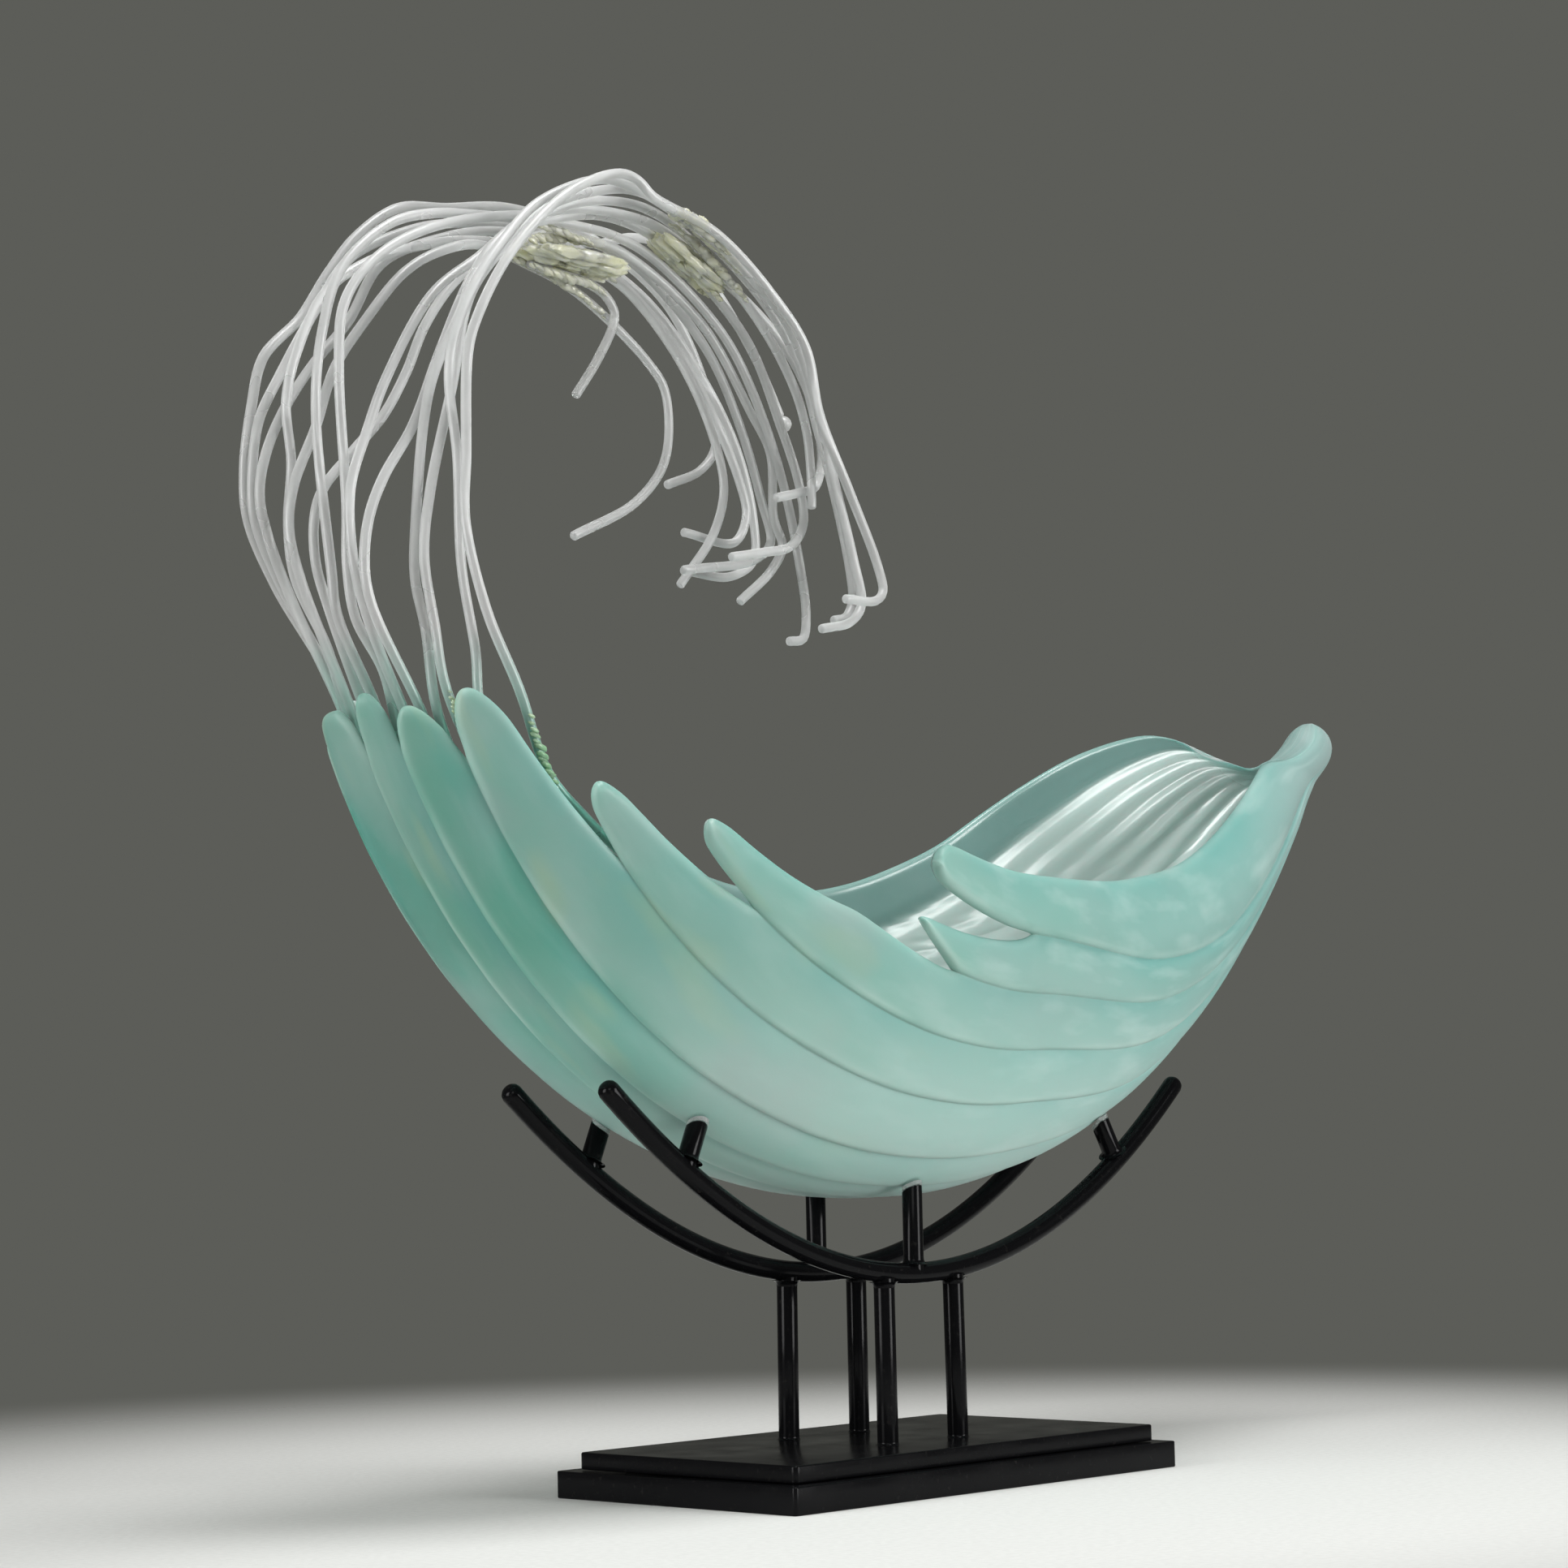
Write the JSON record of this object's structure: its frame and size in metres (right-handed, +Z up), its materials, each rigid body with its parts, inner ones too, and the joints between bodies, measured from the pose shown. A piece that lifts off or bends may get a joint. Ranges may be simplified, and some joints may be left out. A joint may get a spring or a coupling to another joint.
{
  "type": "glass wave sculpture",
  "caption": "Trough-shaped shell of fused glass ribs with a curling plume of bent glass rods, resting in a welded black steel cradle on a stepped base.",
  "frame": {"origin": "centre of the lower plate's underside, on the surface the piece stands on", "axes": "+Z up, +X along the base towards the shell's prow, -Y towards the side that is looked at"},
  "size_m": [0.7116, 0.1914, 0.57],
  "materials": {
    "frosted_sea_glass": "frosted, translucent sea green",
    "frosted_clear_glass": "frosted, clear",
    "set_adhesive": "clear adhesive that has yellowed",
    "clear_rubber": "clear, soft",
    "black_gloss_steel": "gloss black"
  },
  "bodies": {
    "stand": {"base_lower_plate": "black_gloss_steel", "base_upper_plate": "black_gloss_steel", "cradle_rod_back": "black_gloss_steel", "cradle_rod_front": "black_gloss_steel", "pad_back_left": "clear_rubber", "pad_back_middle": "clear_rubber", "pad_back_right": "clear_rubber", "pad_front_left": "clear_rubber", "pad_front_middle": "clear_rubber", "pad_front_right": "clear_rubber", "post_back_left": "black_gloss_steel", "post_back_right": "black_gloss_steel", "post_front_left": "black_gloss_steel", "post_front_right": "black_gloss_steel", "stub_back_left": "black_gloss_steel", "stub_back_middle": "black_gloss_steel", "stub_back_right": "black_gloss_steel", "stub_front_left": "black_gloss_steel", "stub_front_middle": "black_gloss_steel", "stub_front_right": "black_gloss_steel"},
    "glass": {"glass_rod_01": "frosted_clear_glass", "glass_rod_02": "frosted_clear_glass", "glass_rod_03": "frosted_clear_glass", "glass_rod_04": "frosted_clear_glass", "glass_rod_05": "frosted_clear_glass", "glass_rod_06": "frosted_clear_glass", "glass_rod_07": "frosted_clear_glass", "glass_rod_08": "frosted_clear_glass", "glass_rod_09": "frosted_clear_glass", "glass_rod_10": "frosted_clear_glass", "glass_rod_11": "frosted_clear_glass", "glass_rod_12": "frosted_clear_glass", "glass_rod_13": "frosted_clear_glass", "glass_rod_14": "frosted_clear_glass", "glass_rod_15": "frosted_clear_glass", "glass_rod_16": "frosted_clear_glass", "glass_shell": "frosted_sea_glass", "glue_lump_1": "set_adhesive", "glue_lump_2": "set_adhesive", "glue_lump_3": "set_adhesive", "rod_end_bead": "frosted_clear_glass"}
  },
  "joints": [
    {"name": "glass_lift", "type": "slide", "parent": "stand", "child": "glass", "axis": [0, 0, 1], "range_m": [0, 0.12]}
  ]
}
